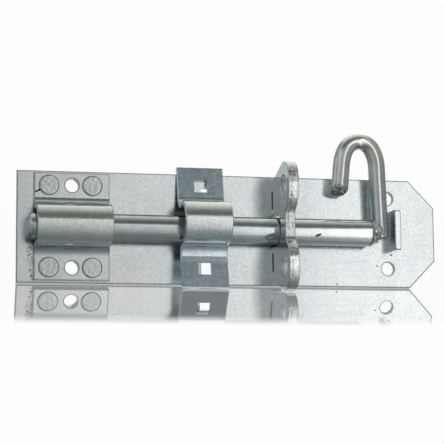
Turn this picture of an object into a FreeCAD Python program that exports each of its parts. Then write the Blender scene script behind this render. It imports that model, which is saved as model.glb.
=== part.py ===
import FreeCAD, Part
import math
import os
import Sketcher

# Padbolt with a hooked handle, drawn back, its loose keeper round the bolt.
# Millimetres. The plate stands upright in XZ with its back face on Y = 0 and its
# front facing -Y; +X runs from the bolt's nose to its tail. "Stand-off" below is
# the distance in front of the plate's front face.

doc = FreeCAD.newDocument("padbolt")
sheet = doc.addObject("Spreadsheet::Sheet", "dims")

VALUES = [
    # back plate
    ("plate_len", 254.0), ("plate_high", 65.5), ("plate_thk", 3.0),
    ("clip_x", 16.0), ("clip_z", 16.5), ("plate_edge", 0.4),
    ("screw_rad", 4.0),
    ("left_hole_x", -95.3), ("left_hole_z", 24.0),
    ("right_hole_x", 97.1), ("right_hole_z", 21.4),
    ("coach_side", 8.6), ("coach_x", -14.1), ("coach_up", 20.2), ("coach_low", -22.4),
    # bolt
    ("bolt_rad", 8.0), ("bolt_off", 8.6), ("bolt_sag", -1.05),
    ("bolt_nose", -121.9), ("bolt_tail", 83.7), ("nose_round", 3.4), ("tail_round", 0.7),
    # guide strap
    ("guide_x", -117.2), ("guide_wide", 43.8), ("guide_half", 31.2),
    ("guide_in", 9.4), ("guide_thk", 3.0), ("guide_bend", 5.0), ("strap_edge", 0.45),
    # rivets
    ("rivet_left", -108.8), ("rivet_pitch", 25.2), ("rivet_z", 23.9),
    ("rivet_head", 5.8), ("rivet_shank", 4.6), ("rivet_proud", 0.55), ("rivet_soft", 0.3),
    # staple plate
    ("staple_x", 25.3), ("staple_thk", 6.2), ("staple_base", 30.0),
    ("ear_off", 25.4), ("ear_z", 26.0), ("ear_rad", 12.2),
    ("shoulder_off", 21.6), ("shoulder_z", 22.4), ("shoulder_rad", 16.0),
    ("shoulder_turn", 55.0), ("waist_off", 28.9),
    ("lock_off", 25.2), ("lock_z", 23.8), ("lock_rad", 6.0),
    ("arch_rad", 9.4), ("tenon_in", 13.2), ("tenon_out", 24.0), ("tenon_gap", 0.05),
    ("staple_edge", 0.5),
    # stop lug
    ("stop_x", 97.85), ("stop_thk", 3.8), ("stop_deep", 12.4), ("stop_half", 12.3),
    ("stop_tenon", 8.0), ("stop_round", 1.6), ("stop_z", 1.0),
    # hook handle
    ("hook_rad", 5.2), ("leg_x", 88.2), ("hook_half", 11.0), ("leg_foot", -4.2),
    ("leg_lean", 1.9), ("tip_lean", 6.0),
    ("spring_z", 38.25), ("side_rad", 24.0), ("crown_rad", 9.4),
    ("tip_front", 27.0), ("tip_back", 20.8),
    ("weld_rad", 6.4), ("weld_gap", 0.3), ("weld_deep", 5.6),
    # keeper strap
    ("keeper_x", -19.35), ("keeper_off", 6.92), ("keeper_z", 0.01), ("keeper_lean", 12.0),
    ("keeper_wide", 27.8), ("keeper_half", 36.9), ("keeper_thk", 2.7),
    ("keeper_in", 10.0), ("keeper_axis", 9.9), ("keeper_bend", 5.6), ("keeper_edge", 0.6),
    ("keeper_hole", 7.8), ("keeper_hole_z", 25.4),
]


class Dim:
    """A size with its number and the cell expression that gives it."""

    def __init__(self, value, text):
        self.v = float(value)
        self.t = text

    def _other(self, o):
        return o if isinstance(o, Dim) else Dim(o, "%.6f" % o)

    def __add__(self, o):
        o = self._other(o)
        return Dim(self.v + o.v, "(%s + %s)" % (self.t, o.t))

    def __radd__(self, o):
        return self._other(o) + self

    def __sub__(self, o):
        o = self._other(o)
        return Dim(self.v - o.v, "(%s - %s)" % (self.t, o.t))

    def __rsub__(self, o):
        return self._other(o) - self

    def __mul__(self, o):
        o = self._other(o)
        return Dim(self.v * o.v, "(%s * %s)" % (self.t, o.t))

    def __rmul__(self, o):
        return self._other(o) * self

    def __truediv__(self, o):
        o = self._other(o)
        return Dim(self.v / o.v, "(%s / %s)" % (self.t, o.t))

    def __neg__(self):
        return Dim(-self.v, "(-%s)" % self.t)


def dsqrt(a):
    return Dim(math.sqrt(a.v), "sqrt(%s)" % a.t)


def dcos(a):
    return Dim(math.cos(math.radians(a.v)), "cos(%s * 1 deg)" % a.t)


def dsin(a):
    return Dim(math.sin(math.radians(a.v)), "sin(%s * 1 deg)" % a.t)


D = {}
for row, (alias, value) in enumerate(VALUES, start=1):
    sheet.set("A%d" % row, alias)
    sheet.set("B%d" % row, repr(value))
    sheet.setAlias("B%d" % row, alias)
    D[alias] = Dim(value, "dims." + alias)
doc.recompute()

V = FreeCAD.Vector
THK = D["plate_thk"]


def new_body(label):
    body = doc.addObject("PartDesign::Body", label)
    body.Label = label
    return body


def plane_of(body, role):
    for feature in body.Origin.OriginFeatures:
        if feature.Role == role:
            return feature
    raise RuntimeError("no origin plane " + role)


def new_sketch(body, name, role, offset=None, shift=None):
    """A sketch on one of the body's own origin planes, moved along its normal."""
    sk = body.newObject("Sketcher::SketchObject", name)
    sk.AttachmentSupport = [(plane_of(body, role), "")]
    sk.MapMode = "FlatFace"
    base = V(shift[0].v if shift else 0, shift[1].v if shift else 0, offset.v if offset else 0)
    sk.AttachmentOffset = FreeCAD.Placement(base, FreeCAD.Rotation())
    if offset is not None:
        sk.setExpression("AttachmentOffset.Base.z", offset.t)
    if shift is not None:
        sk.setExpression("AttachmentOffset.Base.x", shift[0].t)
        sk.setExpression("AttachmentOffset.Base.y", shift[1].t)
    return sk


def bind(sk, constraint, dim):
    index = sk.addConstraint(constraint)
    sk.setExpression("Constraints[%d]" % index, dim.t)


def pin_point(sk, geo, pos, x, y):
    bind(sk, Sketcher.Constraint("DistanceX", -1, 1, geo, pos, x.v), x)
    bind(sk, Sketcher.Constraint("DistanceY", -1, 1, geo, pos, y.v), y)


def outline(sk, points, arcs, closed=True):
    """Join the points in order. arcs maps the index of a segment to its radius and
    a point that the arc passes through."""
    count = len(points)
    total = count if closed else count - 1
    ids, ends = [], []
    for i in range(total):
        a, b = points[i], points[(i + 1) % count]
        pa, pb = V(a[0].v, a[1].v, 0), V(b[0].v, b[1].v, 0)
        if i in arcs:
            radius, through = arcs[i]
            arc = Part.Arc(pa, V(through[0], through[1], 0), pb)
            geo = sk.addGeometry(arc, False)
            start = sk.getPoint(geo, 1)
            ends.append((1, 2) if start.distanceToPoint(pa) < 1e-4 else (2, 1))
        else:
            geo = sk.addGeometry(Part.LineSegment(pa, pb), False)
            ends.append((1, 2))
        ids.append(geo)
    for i in range(total):
        j = (i + 1) % total
        if closed or i + 1 < total:
            sk.addConstraint(Sketcher.Constraint("Coincident", ids[i], ends[i][1], ids[j], ends[j][0]))
    for i in range(total):
        pin_point(sk, ids[i], ends[i][0], points[i][0], points[i][1])
    if not closed:
        pin_point(sk, ids[-1], ends[-1][1], points[-1][0], points[-1][1])
    for i, (radius, through) in arcs.items():
        a, b = points[i], points[(i + 1) % count]
        span = math.hypot(a[0].v - b[0].v, a[1].v - b[1].v)
        if abs(span - 2 * radius.v) < 1e-3:
            # a half circle: its centre is level with its two ends
            bind(sk, Sketcher.Constraint("DistanceX", -1, 1, ids[i], 3, a[0].v), a[0])
        else:
            bind(sk, Sketcher.Constraint("Radius", ids[i], radius.v), radius)
    return ids


def rectangle(sk, x0, y0, x1, y1):
    return outline(sk, [(x0, y0), (x1, y0), (x1, y1), (x0, y1)], {})


def disc(sk, x, y, radius):
    geo = sk.addGeometry(Part.Circle(V(x.v, y.v, 0), V(0, 0, 1), radius.v), False)
    pin_point(sk, geo, 3, x, y)
    bind(sk, Sketcher.Constraint("Radius", geo, radius.v), radius)


def pad(body, name, sk, length):
    feature = body.newObject("PartDesign::Pad", name)
    feature.Profile = sk
    feature.Length = length.v
    feature.setExpression("Length", length.t)
    doc.recompute()
    return feature


def cut(body, name, sk, length, reverse):
    """Pocket of a given depth; stops if it removes nothing."""
    doc.recompute()
    before = body.Shape.Volume
    feature = body.newObject("PartDesign::Pocket", name)
    feature.Profile = sk
    feature.Length = length.v
    feature.setExpression("Length", length.t)
    feature.Reversed = reverse
    doc.recompute()
    if body.Shape.Volume > before - 1e-3:
        raise RuntimeError("%s removes nothing" % name)
    return feature


def soften(body, name, base, pick, radius):
    """Round the edges of the feature that pick() accepts."""
    names = []
    for i, edge in enumerate(base.Shape.Edges, start=1):
        if pick(edge):
            names.append("Edge%d" % i)
    feature = body.newObject("PartDesign::Fillet", name)
    feature.Base = (base, names)
    feature.Radius = radius.v
    feature.setExpression("Radius", radius.t)
    doc.recompute()
    return feature


def on_plane(edge, axis, value):
    """True where the whole edge lies on the plane axis = value."""
    samples = [edge.valueAt(edge.FirstParameter + (edge.LastParameter - edge.FirstParameter) * k / 4.0)
               for k in range(5)]
    return all(abs(getattr(p, axis) - value) < 1e-4 for p in samples)


def off(stand_off):
    """Y coordinate of a stand-off from the plate's front face."""
    return -(THK + stand_off)


# ---------------------------------------------------------------- back plate
half_len = D["plate_len"] / 2
half_high = D["plate_high"] / 2
back_plate = new_body("back_plate")
sk = new_sketch(back_plate, "plate_outline", "XZ_Plane")
outline(sk, [
    (-half_len, -half_high), (half_len - D["clip_x"], -half_high),
    (half_len, D["clip_z"] - half_high), (half_len, half_high - D["clip_z"]),
    (half_len - D["clip_x"], half_high), (-half_len, half_high)], {})
plate_pad = pad(back_plate, "plate_sheet", sk, THK)
soften(back_plate, "plate_edges", plate_pad,
       lambda e: on_plane(e, "y", -THK.v), D["plate_edge"])

rivet_right = D["rivet_left"] + D["rivet_pitch"]
sk = new_sketch(back_plate, "plate_round_holes", "XZ_Plane")
disc(sk, D["left_hole_x"], D["left_hole_z"], D["screw_rad"])
disc(sk, D["left_hole_x"], -D["left_hole_z"], D["screw_rad"])
disc(sk, D["right_hole_x"], D["right_hole_z"], D["screw_rad"])
disc(sk, D["right_hole_x"], -D["right_hole_z"], D["screw_rad"])
shank_hole = D["rivet_shank"] + D["tenon_gap"]
for rx in (D["rivet_left"], rivet_right):
    for rz in (D["rivet_z"], -D["rivet_z"]):
        disc(sk, rx, rz, shank_hole)
cut(back_plate, "plate_drilling", sk, THK, True)

sk = new_sketch(back_plate, "plate_square_holes", "XZ_Plane")
half_coach = D["coach_side"] / 2
for cz in (D["coach_up"], D["coach_low"]):
    rectangle(sk, D["coach_x"] - half_coach, cz - half_coach, D["coach_x"] + half_coach, cz + half_coach)
gap = D["tenon_gap"]
staple_far = D["staple_x"] + D["staple_thk"]
rectangle(sk, D["staple_x"] - gap, D["tenon_in"] - gap, staple_far + gap, D["tenon_out"] + gap)
rectangle(sk, D["staple_x"] - gap, -D["tenon_out"] - gap, staple_far + gap, -D["tenon_in"] + gap)
stop_far = D["stop_x"] + D["stop_thk"]
rectangle(sk, D["stop_x"] - gap, D["stop_z"] - D["stop_tenon"] - gap,
          stop_far + gap, D["stop_z"] + D["stop_tenon"] + gap)
cut(back_plate, "plate_punching", sk, THK, True)


# ------------------------------------------------------------- omega straps
def omega(sk, front, half, inner, axis, thk, bend):
    """Section of a strap: two flanges and a half-round hump between them.
    front() gives the sketch's first coordinate for a stand-off from the flange's
    back; axis is the stand-off of the hump's centre."""
    outer = inner + thk
    toe = outer + bend                      # where the flange's flat front ends
    knee = thk + bend                       # where the hump's side gets straight
    zero = Dim(0, "0")
    pts = [
        (front(zero), -half), (front(zero), -toe), (front(knee), -inner), (front(axis), -inner),
        (front(axis), inner), (front(knee), inner), (front(zero), toe), (front(zero), half),
        (front(thk), half), (front(thk), toe), (front(knee), outer), (front(axis), outer),
        (front(axis), -outer), (front(knee), -outer), (front(thk), -toe), (front(thk), -half)]
    r45 = math.sqrt(0.5)

    def near(cx, cz, radius, sx, sz):
        step = 1.0 if front(Dim(1, "1")).v > front(zero).v else -1.0
        return (front(Dim(cx, "0")).v + step * sx * radius * r45, cz + sz * radius * r45)

    arcs = {
        1: (knee, near(knee.v, -toe.v, knee.v, -1, 1)),
        3: (inner, (front(axis + inner).v, 0.0)),
        5: (knee, near(knee.v, toe.v, knee.v, -1, -1)),
        9: (bend, near(knee.v, toe.v, bend.v, -1, -1)),
        11: (outer, (front(axis + outer).v, 0.0)),
        13: (bend, near(knee.v, -toe.v, bend.v, -1, 1)),
    }
    return outline(sk, pts, arcs)


bolt_guide = new_body("bolt_guide")
sk = new_sketch(bolt_guide, "guide_section", "YZ_Plane", offset=D["guide_x"])
omega(sk, off, D["guide_half"], D["guide_in"], D["bolt_off"], D["guide_thk"], D["guide_bend"])
guide_pad = pad(bolt_guide, "guide_strap", sk, D["guide_wide"])
guide_far = D["guide_x"] + D["guide_wide"]
front_rim = lambda e, a, b: on_plane(e, "x", a) or on_plane(e, "x", b)
soften(bolt_guide, "guide_edges", guide_pad,
       lambda e: front_rim(e, D["guide_x"].v, guide_far.v)
       and max(v.Y for v in e.Vertexes) < -THK.v - D["guide_thk"].v + 1e-3
       and not (min(abs(v.Z) for v in e.Vertexes) < D["guide_in"].v + 0.01), D["strap_edge"])
sk = new_sketch(bolt_guide, "guide_holes", "XZ_Plane", offset=THK)
disc(sk, D["left_hole_x"], D["left_hole_z"], D["screw_rad"])
disc(sk, D["left_hole_x"], -D["left_hole_z"], D["screw_rad"])
for rx in (D["rivet_left"], rivet_right):
    for rz in (D["rivet_z"], -D["rivet_z"]):
        disc(sk, rx, rz, shank_hole)
cut(bolt_guide, "guide_drilling", sk, D["guide_thk"], True)

# ------------------------------------------------------------------- rivets
# Flat closed head on the flange, shank dressed flush with the plate's back.
guide_rivets = new_body("guide_rivets")
sk = new_sketch(guide_rivets, "rivet_section", "XY_Plane", offset=D["rivet_z"],
                shift=(D["rivet_left"], Dim(0, "0")))
zero = Dim(0, "0")
seat = off(D["guide_thk"])
crown = seat - D["rivet_proud"]
outline(sk, [
    (zero, zero), (D["rivet_shank"], zero), (D["rivet_shank"], seat), (D["rivet_head"], seat),
    (D["rivet_head"], crown + D["rivet_soft"]), (D["rivet_head"] - D["rivet_soft"], crown), (zero, crown)], {})
rivet_turn = guide_rivets.newObject("PartDesign::Revolution", "rivet_turning")
rivet_turn.Profile = sk
rivet_turn.ReferenceAxis = (sk, ["V_Axis"])
rivet_turn.Angle = 360.0
doc.recompute()
rivet_set = guide_rivets.newObject("PartDesign::MultiTransform", "rivet_set")
rivet_row = guide_rivets.newObject("PartDesign::LinearPattern", "rivet_row")
rivet_row.Direction = (plane_of(guide_rivets, "X_Axis"), [""])
rivet_row.Length = D["rivet_pitch"].v
rivet_row.setExpression("Length", D["rivet_pitch"].t)
rivet_row.Occurrences = 2
rivet_pair = guide_rivets.newObject("PartDesign::Mirrored", "rivet_pair")
rivet_pair.MirrorPlane = (plane_of(guide_rivets, "XY_Plane"), [""])
rivet_set.Originals = [rivet_turn]
rivet_set.Transformations = [rivet_row, rivet_pair]
guide_rivets.Tip = rivet_set
doc.recompute()

# ------------------------------------------------------------- staple plate
staple_plate = new_body("staple_plate")
sk = new_sketch(staple_plate, "staple_outline", "YZ_Plane", offset=D["staple_x"])
ax, az, ar = D["ear_off"], D["ear_z"], D["ear_rad"]
base = D["staple_base"]
# tangent from the foot of the ear's sloping side to the ear's round
run2 = ax * ax + (az - base) * (az - base)
tangent = dsqrt(run2 - ar * ar)
tan_x = (ax * tangent * tangent - (az - base) * ar * tangent) / run2
tan_z = base + ((az - base) * tangent * tangent + ax * ar * tangent) / run2
front_off = ax + ar
sx, sz, sr = D["shoulder_off"], D["shoulder_z"], D["shoulder_rad"]
cs, sn = dcos(D["shoulder_turn"]), dsin(D["shoulder_turn"])
flank_x, flank_z = sx + sr * cs, sz - sr * sn
# hollow between shoulder and waist, tangent to both
hollow = (sx + sr * cs - D["waist_off"]) / (1.0 - cs)
hollow_x, hollow_z = D["waist_off"] + hollow, sz - (sr + hollow) * sn
shoulder_x = sx + sr


def upper(x, z):
    return (off(x), z)


def lower(x, z):
    return (off(x), -z)


bo, br = D["bolt_off"], D["arch_rad"]
ti, to = D["tenon_in"], D["tenon_out"]
pts = [
    upper(zero, br), upper(zero, ti), upper(-THK, ti), upper(-THK, to), upper(zero, to),   # 0-4
    upper(zero, base), upper(tan_x, tan_z), upper(front_off, az),                          # 5-7
    upper(shoulder_x, sz), upper(flank_x, flank_z), upper(D["waist_off"], hollow_z),       # 8-10
    lower(D["waist_off"], hollow_z), lower(flank_x, flank_z), lower(shoulder_x, sz),       # 11-13
    lower(front_off, az), lower(tan_x, tan_z), lower(zero, base),                          # 14-16
    lower(zero, to), lower(-THK, to), lower(-THK, ti), lower(zero, ti),                    # 17-20
    lower(zero, br), lower(bo, br), upper(bo, br)]                                         # 21-23
r45 = math.sqrt(0.5)
half_turn = math.radians(D["shoulder_turn"].v / 2)
hollow_mid = math.radians(180.0 - D["shoulder_turn"].v / 2)


def via(x, z):
    return (-(THK.v + x), z)


arcs = {
    6: (ar, via(ax.v + ar.v * r45, az.v + ar.v * r45)),
    8: (sr, via(sx.v + sr.v * math.cos(half_turn), sz.v - sr.v * math.sin(half_turn))),
    9: (hollow, via(hollow_x.v + hollow.v * math.cos(hollow_mid), hollow_z.v + hollow.v * math.sin(hollow_mid))),
    11: (hollow, via(hollow_x.v + hollow.v * math.cos(hollow_mid), -hollow_z.v - hollow.v * math.sin(hollow_mid))),
    12: (sr, via(sx.v + sr.v * math.cos(half_turn), -sz.v + sr.v * math.sin(half_turn))),
    14: (ar, via(ax.v + ar.v * r45, -az.v - ar.v * r45)),
    22: (br, via(bo.v + br.v, 0.0)),
}
outline(sk, pts, arcs)
staple_pad = pad(staple_plate, "staple_blank", sk, D["staple_thk"])
sk = new_sketch(staple_plate, "staple_lock_holes", "YZ_Plane", offset=D["staple_x"])
disc(sk, off(D["lock_off"]), D["lock_z"], D["lock_rad"])
disc(sk, off(D["lock_off"]), -D["lock_z"], D["lock_rad"])
lock_cut = cut(staple_plate, "staple_locks", sk, D["staple_thk"], True)


# the blanked outer outline and the two lock holes have a small round on both faces
def on_arch(e):
    p = e.valueAt((e.FirstParameter + e.LastParameter) / 2.0)
    return math.hypot(p.y - off(bo).v, p.z) < br.v + 0.2


def staple_rim(e):
    if not front_rim(e, D["staple_x"].v, staple_far.v) or on_arch(e):
        return False
    p = e.valueAt((e.FirstParameter + e.LastParameter) / 2.0)
    return p.y < off(Dim(2.0, "2")).v and max(v.Y for v in e.Vertexes) < off(Dim(0, "0")).v + 1e-6


soften(staple_plate, "staple_edges", lock_cut, staple_rim, D["staple_edge"])

# ----------------------------------------------------------------- stop lug
stop_lug = new_body("stop_lug")
sk = new_sketch(stop_lug, "stop_outline", "YZ_Plane", offset=D["stop_x"])
sd, sh, st, so = D["stop_deep"], D["stop_half"], D["stop_tenon"], D["stop_round"]
mz = D["stop_z"]
pts = [
    upper(-THK, mz - st), upper(-THK, mz + st), upper(zero, mz + st), upper(zero, mz + sh),
    upper(sd - so, mz + sh), upper(sd, mz + sh - so), upper(sd, mz - sh + so), upper(sd - so, mz - sh),
    upper(zero, mz - sh), upper(zero, mz - st)]
k = so.v * (1 - r45)
arcs = {
    4: (so, via(sd.v - k, mz.v + sh.v - k)),
    6: (so, via(sd.v - k, mz.v - sh.v + k)),
}
outline(sk, pts, arcs)
stop_pad = pad(stop_lug, "stop_blank", sk, D["stop_thk"])
soften(stop_lug, "stop_edges", stop_pad,
       lambda e: front_rim(e, D["stop_x"].v, stop_far.v)
       and max(v.Y for v in e.Vertexes) < off(zero).v + 1e-6
       and min(v.Y for v in e.Vertexes) < off(Dim(2.0, "2")).v, D["staple_edge"])

# ----------------------------------------------------------------- bolt rod
bolt_rod = new_body("bolt_rod")
sk = new_sketch(bolt_rod, "bolt_section", "YZ_Plane", offset=D["bolt_nose"])
disc(sk, off(D["bolt_off"]), D["bolt_sag"], D["bolt_rad"])
bolt_pad = pad(bolt_rod, "bolt_bar", sk, D["bolt_tail"] - D["bolt_nose"])
nose = soften(bolt_rod, "bolt_nose_round", bolt_pad,
              lambda e: on_plane(e, "x", D["bolt_nose"].v), D["nose_round"])
soften(bolt_rod, "bolt_tail_round", nose,
       lambda e: on_plane(e, "x", D["bolt_tail"].v), D["tail_round"])

# -------------------------------------------------------------- hook handle
# Centre line in the plane through the bolt's axis: a straight leg, two long side
# arcs, a tight crown between them and a short straight tip. Leg and tip spread
# apart downwards.
hook_handle = new_body("hook_handle")
spine = new_sketch(hook_handle, "hook_line", "XZ_Plane", offset=-off(D["bolt_off"]))
lx, hh = D["leg_x"], D["hook_half"]
sr_, cr = D["side_rad"], D["crown_rad"]
mid_x = lx - hh
co = (sr_ - hh) / (sr_ - cr)                      # cosine of the side arc's turn
si = dsqrt(1.0 - co * co)
join_dx, join_z = cr * co, D["spring_z"] + sr_ * si
top_z = D["spring_z"] + (sr_ - cr) * si + cr
tip_end = D["tip_back"] - 3.0
leg_c, leg_s = dcos(D["leg_lean"]), dsin(D["leg_lean"])
tip_c, tip_s = dcos(D["tip_lean"]), dsin(D["tip_lean"])
leg_top_x, leg_top_z = lx - sr_ + sr_ * leg_c, D["spring_z"] + sr_ * leg_s
tip_top_x, tip_top_z = mid_x - hh + sr_ - sr_ * tip_c, D["spring_z"] + sr_ * tip_s
foot_x = leg_top_x + (leg_top_z - D["leg_foot"]) * leg_s / leg_c
tip_x = tip_top_x - (tip_top_z - tip_end) * tip_s / tip_c
pts = [
    (foot_x, D["leg_foot"]), (leg_top_x, leg_top_z), (mid_x + join_dx, join_z), (mid_x - join_dx, join_z),
    (tip_top_x, tip_top_z), (tip_x, tip_end)]
leg_mid = (math.acos(co.v) + math.radians(D["leg_lean"].v)) / 2
tip_mid = (math.acos(co.v) + math.radians(D["tip_lean"].v)) / 2
arcs = {
    1: (sr_, (lx.v - sr_.v + sr_.v * math.cos(leg_mid), D["spring_z"].v + sr_.v * math.sin(leg_mid))),
    2: (cr, (mid_x.v, top_z.v)),
    3: (sr_, (mid_x.v - hh.v + sr_.v - sr_.v * math.cos(tip_mid), D["spring_z"].v + sr_.v * math.sin(tip_mid))),
}
outline(spine, pts, arcs, closed=False)
ring = new_sketch(hook_handle, "hook_section", "XY_Plane", offset=D["leg_foot"])
disc(ring, foot_x, off(D["bolt_off"]), D["hook_rad"])
doc.recompute()
bar = hook_handle.newObject("PartDesign::AdditivePipe", "hook_bar")
bar.Profile = ring
bar.Spine = spine
doc.recompute()
# weld pad that joins the leg's foot to the bolt's tail
sk = new_sketch(hook_handle, "weld_section", "YZ_Plane", offset=D["bolt_tail"] + D["weld_gap"])
disc(sk, off(D["bolt_off"]), D["bolt_sag"], D["weld_rad"])
weld = pad(hook_handle, "weld_pad", sk, D["weld_deep"])
# the tip is sheared off on a slope that faces the front and down
sk = new_sketch(hook_handle, "tip_shear", "YZ_Plane", offset=mid_x - hh - D["hook_rad"] - 4.0)
slope = (D["tip_front"] - D["tip_back"]) / (D["hook_rad"] * 2)
near_y, far_y = off(D["bolt_off"]) - D["hook_rad"] - 2.0, off(D["bolt_off"]) + D["hook_rad"] + 2.0
outline(sk, [
    (near_y, D["tip_front"] + 2.0 * slope), (far_y, D["tip_back"] - 2.0 * slope),
    (far_y, D["tip_back"] - 8.0), (near_y, D["tip_back"] - 8.0)], {})
cut(hook_handle, "tip_cut", sk, D["hook_rad"] * 2 + 6.0, True)

# ------------------------------------------------------------------- keeper
keeper = new_body("keeper")
sk = new_sketch(keeper, "keeper_section", "YZ_Plane", offset=-D["keeper_wide"] / 2)
omega(sk, lambda s: -s, D["keeper_half"], D["keeper_in"], D["keeper_axis"], D["keeper_thk"], D["keeper_bend"])
keeper_pad = pad(keeper, "keeper_strap", sk, D["keeper_wide"])
half_keeper = D["keeper_wide"].v / 2
keeper_round = soften(keeper, "keeper_edges", keeper_pad,
                      lambda e: front_rim(e, -half_keeper, half_keeper)
                      and max(v.Y for v in e.Vertexes) < -D["keeper_thk"].v + 1e-3
                      and not (min(abs(v.Z) for v in e.Vertexes) < D["keeper_in"].v + 0.01), D["keeper_edge"])
sk = new_sketch(keeper, "keeper_holes", "XZ_Plane")
half_hole = D["keeper_hole"] / 2
for hz in (D["keeper_hole_z"], -D["keeper_hole_z"]):
    rectangle(sk, -half_hole, hz - half_hole, half_hole, hz + half_hole)
cut(keeper, "keeper_punching", sk, D["keeper_thk"], True)
# it leans with its head against the plate's top edge
keeper.Placement = FreeCAD.Placement(
    V(D["keeper_x"].v, off(D["keeper_off"]).v, D["keeper_z"].v),
    FreeCAD.Rotation(V(-1, 0, 0), D["keeper_lean"].v))
keeper.setExpression("Placement.Rotation.Angle", D["keeper_lean"].t)
keeper.setExpression("Placement.Base.x", D["keeper_x"].t)
keeper.setExpression("Placement.Base.y", off(D["keeper_off"]).t)
keeper.setExpression("Placement.Base.z", D["keeper_z"].t)
doc.recompute()

# -------------------------------------------------------------------- write
PARTS = [back_plate, bolt_guide, guide_rivets, staple_plate, stop_lug, bolt_rod, hook_handle, keeper]
bad = [o.Name for o in doc.Objects if "Invalid" in o.State or "Error" in o.State]
if bad:
    raise RuntimeError("failed objects: %s" % bad)
for part in PARTS:
    if part.Shape.isNull() or not part.Shape.isValid():
        raise RuntimeError("bad shape: %s" % part.Label)
os.makedirs("parts", exist_ok=True)
for part in PARTS:
    box = part.Shape.BoundBox
    print("%-13s solids %d volume %.1f  x %.2f..%.2f  y %.2f..%.2f  z %.2f..%.2f" % (
        part.Label, len(part.Shape.Solids), part.Shape.Volume,
        box.XMin, box.XMax, box.YMin, box.YMax, box.ZMin, box.ZMax))
    part.Shape.exportStep("parts/%s.step" % part.Label)
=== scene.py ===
import math

import bmesh
import bpy
from mathutils import Matrix, Vector, geometry, noise


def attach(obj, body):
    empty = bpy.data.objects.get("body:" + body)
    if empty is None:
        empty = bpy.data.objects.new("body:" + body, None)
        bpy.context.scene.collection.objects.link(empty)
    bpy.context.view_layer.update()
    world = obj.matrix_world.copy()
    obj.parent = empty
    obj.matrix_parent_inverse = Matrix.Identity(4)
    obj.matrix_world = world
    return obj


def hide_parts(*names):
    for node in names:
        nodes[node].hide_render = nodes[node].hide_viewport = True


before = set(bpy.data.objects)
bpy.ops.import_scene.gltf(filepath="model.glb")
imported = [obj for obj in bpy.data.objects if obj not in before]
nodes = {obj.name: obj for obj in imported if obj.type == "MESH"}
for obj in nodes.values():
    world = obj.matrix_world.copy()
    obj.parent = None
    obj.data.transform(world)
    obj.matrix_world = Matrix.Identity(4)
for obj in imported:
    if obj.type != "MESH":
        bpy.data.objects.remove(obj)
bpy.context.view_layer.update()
scene = bpy.context.scene
scene.view_settings.view_transform = "Standard"
scene.view_settings.look = "None"
MM = 0.001
PLATE = 3.0          # plate thickness; a stand-off d in front of it is at y = -(PLATE + d)


# --------------------------------------------------------------- node helpers
class Graph:
    """A node tree with short calls for the nodes used here."""

    def __init__(self, tree):
        self.tree = tree
        tree.nodes.clear()

    def node(self, kind, **props):
        n = self.tree.nodes.new(kind)
        for k, v in props.items():
            setattr(n, k, v)
        return n

    def put(self, socket, value):
        if isinstance(value, bpy.types.NodeSocket):
            self.tree.links.new(value, socket)
        elif value is not None:
            socket.default_value = value

    def math(self, op, a, b=None, c=None, clamp=False):
        n = self.node("ShaderNodeMath", operation=op, use_clamp=clamp)
        for i, v in enumerate((a, b, c)):
            if v is not None:
                self.put(n.inputs[i], v)
        return n.outputs[0]

    def vec(self, op, a, b=None):
        n = self.node("ShaderNodeVectorMath", operation=op)
        self.put(n.inputs[0], a)
        if b is not None:
            self.put(n.inputs[3 if op == "SCALE" else 1], b)
        return n.outputs["Value" if op in ("DOT_PRODUCT", "LENGTH", "DISTANCE") else "Vector"]

    def split(self, v):
        n = self.node("ShaderNodeSeparateXYZ")
        self.put(n.inputs[0], v)
        return n.outputs[0], n.outputs[1], n.outputs[2]

    def join(self, x, y, z):
        n = self.node("ShaderNodeCombineXYZ")
        for s, v in zip(n.inputs, (x, y, z)):
            self.put(s, v)
        return n.outputs[0]

    def step(self, v, lo, hi, to_lo=0.0, to_hi=1.0, smooth=True):
        n = self.node("ShaderNodeMapRange", interpolation_type="SMOOTHSTEP" if smooth else "LINEAR", clamp=True)
        for name, x in (("Value", v), ("From Min", lo), ("From Max", hi), ("To Min", to_lo), ("To Max", to_hi)):
            self.put(n.inputs[name], x)
        return n.outputs[0]

    def noise(self, vector, scale, detail=3.0, rough=0.55, distortion=0.0):
        n = self.node("ShaderNodeTexNoise")
        self.put(n.inputs["Vector"], vector)
        n.inputs["Scale"].default_value = scale
        n.inputs["Detail"].default_value = detail
        n.inputs["Roughness"].default_value = rough
        n.inputs["Distortion"].default_value = distortion
        return n.outputs[0]

    def mix(self, fac, a, b, mode="MIX"):
        n = self.node("ShaderNodeMix", data_type="RGBA", blend_type=mode)
        self.put(n.inputs[0], fac)
        self.put(n.inputs[6], a)
        self.put(n.inputs[7], b)
        return n.outputs[2]

    def ramp(self, fac, stops, kind="LINEAR"):
        n = self.node("ShaderNodeValToRGB")
        n.color_ramp.interpolation = kind
        el = n.color_ramp.elements
        while len(el) < len(stops):
            el.new(0.5)
        for e, (pos, col) in zip(el, stops):
            e.position = pos
            e.color = (*col, 1.0)
        self.put(n.inputs[0], fac)
        return n.outputs[0]

    def scale_of(self, angle, stops, unit=1.0):
        """A value that follows an angle in degrees, given as (angle, value) pairs."""
        col = self.ramp(self.math("DIVIDE", self.math("ADD", angle, 180.0), 360.0),
                        [((a + 180.0) / 360.0, (v / unit,) * 3) for a, v in stops])
        return self.math("MULTIPLY", self.split(col)[0], unit)


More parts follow.
